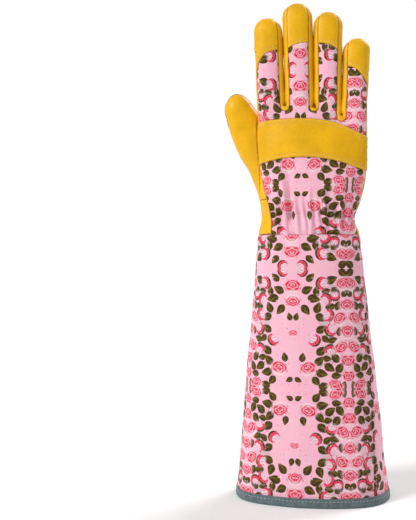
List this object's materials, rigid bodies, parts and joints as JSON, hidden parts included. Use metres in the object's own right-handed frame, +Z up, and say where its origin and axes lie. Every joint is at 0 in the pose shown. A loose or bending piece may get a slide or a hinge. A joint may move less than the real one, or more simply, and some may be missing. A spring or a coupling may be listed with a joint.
{
  "type": "rose pruning gauntlet glove",
  "caption": "Right-hand pruning glove with leather palm and fingertips, printed cloth back, padded palm patch and a long flared cloth sleeve with a bound hem.",
  "frame": {"origin": "centre of the arm opening, in the plane of the hem", "axes": "+Z up the sleeve towards the fingertips, -Y out of the back of the hand, -X towards the thumb"},
  "size_m": [0.1529, 0.1027, 0.457],
  "materials": {
    "printed_cloth": "plain-woven cotton, pink with a rose and leaf print",
    "grey_tape": "ribbed binding tape, matte",
    "yellow_leather": "soft grained leather, satin",
    "dark_suede": "black suede-like facing, matte"
  },
  "bodies": {
    "root": {"sleeve": "printed_cloth", "hem_binding": "grey_tape", "back_cloth": "printed_cloth", "palm_leather": "yellow_leather", "side_panel": "yellow_leather", "knuckle_strap": "yellow_leather", "side_strip_index_middle": "yellow_leather", "side_strip_middle_ring": "yellow_leather", "side_strip_ring_little": "yellow_leather", "cap_index": "yellow_leather", "cap_middle": "yellow_leather", "cap_ring": "yellow_leather", "cap_little": "yellow_leather", "thumb_leather": "yellow_leather", "palm_pad": "dark_suede", "dark_tip_index": "dark_suede", "dark_tip_middle": "dark_suede", "dark_tip_ring": "dark_suede", "dark_tip_little": "dark_suede", "dark_tip_thumb": "dark_suede"}
  },
  "joints": []
}
